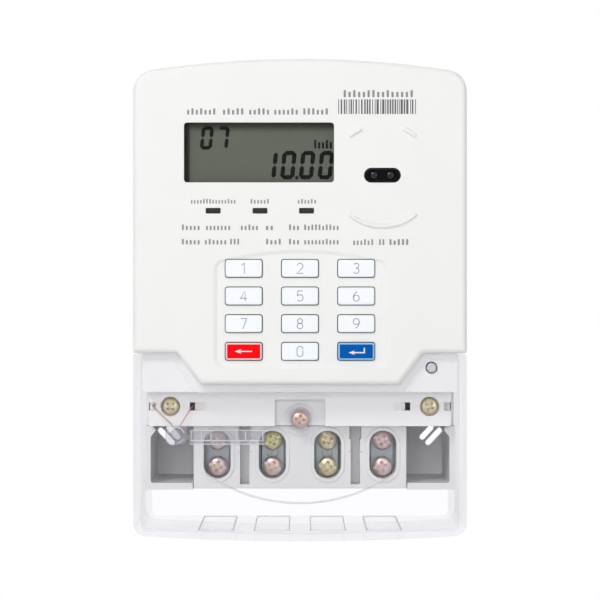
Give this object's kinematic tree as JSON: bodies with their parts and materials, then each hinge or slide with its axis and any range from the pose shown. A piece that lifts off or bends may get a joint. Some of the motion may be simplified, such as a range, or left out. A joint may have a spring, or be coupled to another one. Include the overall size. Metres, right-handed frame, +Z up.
{
  "type": "prepaid electricity meter",
  "caption": "Wall-mounted keypad electricity meter with display window, optical port, side pockets and a clear screw-down cover over the wire terminals.",
  "frame": {"origin": "centre of the flat back face that lies on the wall, at mid-width and mid-height", "axes": "+Z up, +Y from the front of the meter into the wall, +X to the right when the front is seen"},
  "size_m": [0.112, 0.0593, 0.162],
  "materials": {
    "case_white": "satin moulded polycarbonate",
    "case_grey": "fine-textured moulded polycarbonate",
    "block_grey": "moulded glass-filled plastic",
    "clear_cover": "clear moulded polycarbonate",
    "window_clear": "clear acrylic",
    "window_dark": "dark infrared-transparent plastic",
    "elastomer_black": "black silicone cord",
    "elastomer_grey": "grey silicone",
    "sheet_steel": "zinc-plated sheet steel",
    "board_green": "green circuit board",
    "lcd_glass": "grey-green liquid crystal panel",
    "holder_white": "white moulded plastic",
    "lamp_dark": "dark tinted light guide",
    "key_white": "white moulded caps",
    "key_red": "red moulded cap",
    "key_blue": "blue moulded cap",
    "component_black": "black moulded plastic",
    "component_blue": "blue potted plastic",
    "capacitor_sleeve": "dark blue sleeve",
    "battery_sleeve": "green sleeve",
    "copper": "bare copper",
    "tin_plated_brass": "plated brass",
    "yellow_zinc": "yellow passivated zinc on steel",
    "pink_zinc": "iridescent passivated zinc on steel",
    "plunger_white": "white acetal",
    "seal_clear": "clear polycarbonate",
    "seal_copper": "twisted copper wire"
  },
  "bodies": {
    "meter": {"rear_case": "case_grey", "front_cover": "case_white", "terminal_block": "block_grey", "case_gasket": "elastomer_black", "display_window": "window_clear", "lcd_panel": "lcd_glass", "lcd_holder": "holder_white", "optical_window": "window_dark", "optical_plate": "sheet_steel", "ir_emitter": "window_dark", "ir_receiver": "window_dark", "pulse_lamp": "lamp_dark", "alarm_lamp": "lamp_dark", "credit_lamp": "lamp_dark", "keypad_mat": "elastomer_grey", "main_board": "board_green", "supply_transformer": "component_black", "smoothing_capacitor": "capacitor_sleeve", "backup_battery": "battery_sleeve", "buzzer": "component_black", "tamper_switch": "component_black", "latching_relay": "component_black", "current_shunt": "copper", "live_outlet_bar": "copper", "neutral_bar": "copper", "current_transformer": "component_blue", "seal_body": "seal_clear", "seal_wire": "seal_copper", "terminal_1": "tin_plated_brass", "terminal_2": "tin_plated_brass", "terminal_3": "tin_plated_brass", "terminal_4": "tin_plated_brass"},
    "key_1": {"key_1": "key_white"},
    "key_2": {"key_2": "key_white"},
    "key_3": {"key_3": "key_white"},
    "key_4": {"key_4": "key_white"},
    "key_5": {"key_5": "key_white"},
    "key_6": {"key_6": "key_white"},
    "key_7": {"key_7": "key_white"},
    "key_8": {"key_8": "key_white"},
    "key_9": {"key_9": "key_white"},
    "key_0": {"key_0": "key_white"},
    "key_backspace": {"key_backspace": "key_red"},
    "key_enter": {"key_enter": "key_blue"},
    "terminal_1_upper_screw": {"terminal_1_upper_screw": "yellow_zinc"},
    "terminal_1_lower_screw": {"terminal_1_lower_screw": "yellow_zinc"},
    "terminal_2_upper_screw": {"terminal_2_upper_screw": "yellow_zinc"},
    "terminal_2_lower_screw": {"terminal_2_lower_screw": "yellow_zinc"},
    "terminal_3_upper_screw": {"terminal_3_upper_screw": "yellow_zinc"},
    "terminal_3_lower_screw": {"terminal_3_lower_screw": "yellow_zinc"},
    "terminal_4_upper_screw": {"terminal_4_upper_screw": "yellow_zinc"},
    "terminal_4_lower_screw": {"terminal_4_lower_screw": "yellow_zinc"},
    "case_screw_left": {"case_screw_left": "yellow_zinc"},
    "case_screw_right": {"case_screw_right": "yellow_zinc"},
    "tamper_plunger": {"tamper_plunger": "plunger_white"},
    "wall_hanger": {"wall_hanger": "sheet_steel"},
    "cover_screw": {"cover_screw": "pink_zinc"},
    "terminal_cover": {"terminal_cover": "clear_cover", "cover_screw_washer": "sheet_steel"}
  },
  "joints": [
    {"name": "press_1", "type": "slide", "parent": "meter", "child": "key_1", "axis": [0, 1, 0], "range_m": [0, 0.0012], "stiffness_N_per_m": 900},
    {"name": "press_2", "type": "slide", "parent": "meter", "child": "key_2", "axis": [0, 1, 0], "range_m": [0, 0.0012], "stiffness_N_per_m": 900},
    {"name": "press_3", "type": "slide", "parent": "meter", "child": "key_3", "axis": [0, 1, 0], "range_m": [0, 0.0012], "stiffness_N_per_m": 900},
    {"name": "press_4", "type": "slide", "parent": "meter", "child": "key_4", "axis": [0, 1, 0], "range_m": [0, 0.0012], "stiffness_N_per_m": 900},
    {"name": "press_5", "type": "slide", "parent": "meter", "child": "key_5", "axis": [0, 1, 0], "range_m": [0, 0.0012], "stiffness_N_per_m": 900},
    {"name": "press_6", "type": "slide", "parent": "meter", "child": "key_6", "axis": [0, 1, 0], "range_m": [0, 0.0012], "stiffness_N_per_m": 900},
    {"name": "press_7", "type": "slide", "parent": "meter", "child": "key_7", "axis": [0, 1, 0], "range_m": [0, 0.0012], "stiffness_N_per_m": 900},
    {"name": "press_8", "type": "slide", "parent": "meter", "child": "key_8", "axis": [0, 1, 0], "range_m": [0, 0.0012], "stiffness_N_per_m": 900},
    {"name": "press_9", "type": "slide", "parent": "meter", "child": "key_9", "axis": [0, 1, 0], "range_m": [0, 0.0012], "stiffness_N_per_m": 900},
    {"name": "press_0", "type": "slide", "parent": "meter", "child": "key_0", "axis": [0, 1, 0], "range_m": [0, 0.0012], "stiffness_N_per_m": 900},
    {"name": "press_backspace", "type": "slide", "parent": "meter", "child": "key_backspace", "axis": [0, 1, 0], "range_m": [0, 0.0012], "stiffness_N_per_m": 900},
    {"name": "press_enter", "type": "slide", "parent": "meter", "child": "key_enter", "axis": [0, 1, 0], "range_m": [0, 0.0012], "stiffness_N_per_m": 900},
    {"name": "drive_terminal_1_upper_screw", "type": "slide", "parent": "meter", "child": "terminal_1_upper_screw", "axis": [0, 1, 0], "range_m": [0, 0.005]},
    {"name": "drive_terminal_1_lower_screw", "type": "slide", "parent": "meter", "child": "terminal_1_lower_screw", "axis": [0, 1, 0], "range_m": [0, 0.005]},
    {"name": "drive_terminal_2_upper_screw", "type": "slide", "parent": "meter", "child": "terminal_2_upper_screw", "axis": [0, 1, 0], "range_m": [0, 0.005]},
    {"name": "drive_terminal_2_lower_screw", "type": "slide", "parent": "meter", "child": "terminal_2_lower_screw", "axis": [0, 1, 0], "range_m": [0, 0.005]},
    {"name": "drive_terminal_3_upper_screw", "type": "slide", "parent": "meter", "child": "terminal_3_upper_screw", "axis": [0, 1, 0], "range_m": [0, 0.005]},
    {"name": "drive_terminal_3_lower_screw", "type": "slide", "parent": "meter", "child": "terminal_3_lower_screw", "axis": [0, 1, 0], "range_m": [0, 0.005]},
    {"name": "drive_terminal_4_upper_screw", "type": "slide", "parent": "meter", "child": "terminal_4_upper_screw", "axis": [0, 1, 0], "range_m": [0, 0.005]},
    {"name": "drive_terminal_4_lower_screw", "type": "slide", "parent": "meter", "child": "terminal_4_lower_screw", "axis": [0, 1, 0], "range_m": [0, 0.005]},
    {"name": "undo_case_screw_left", "type": "slide", "parent": "meter", "child": "case_screw_left", "axis": [0, -1, 0], "range_m": [0, 0.009]},
    {"name": "undo_case_screw_right", "type": "slide", "parent": "meter", "child": "case_screw_right", "axis": [0, -1, 0], "range_m": [0, 0.009]},
    {"name": "remove_terminal_cover", "type": "slide", "parent": "meter", "child": "terminal_cover", "axis": [0, -1, 0], "range_m": [0, 0.065]},
    {"name": "undo_cover_screw", "type": "slide", "parent": "terminal_cover", "child": "cover_screw", "axis": [0, -1, 0], "range_m": [0, 0.007]},
    {"name": "tamper_plunger_slide", "type": "slide", "parent": "meter", "child": "tamper_plunger", "axis": [0, -1, 0], "range_m": [0, 0.0012]},
    {"name": "raise_wall_hanger", "type": "slide", "parent": "meter", "child": "wall_hanger", "axis": [0, 0, 1], "range_m": [0, 0.014]}
  ],
  "couplings": [
    {"joint": "tamper_plunger_slide", "follows": "remove_terminal_cover", "ratio": 0.018}
  ]
}
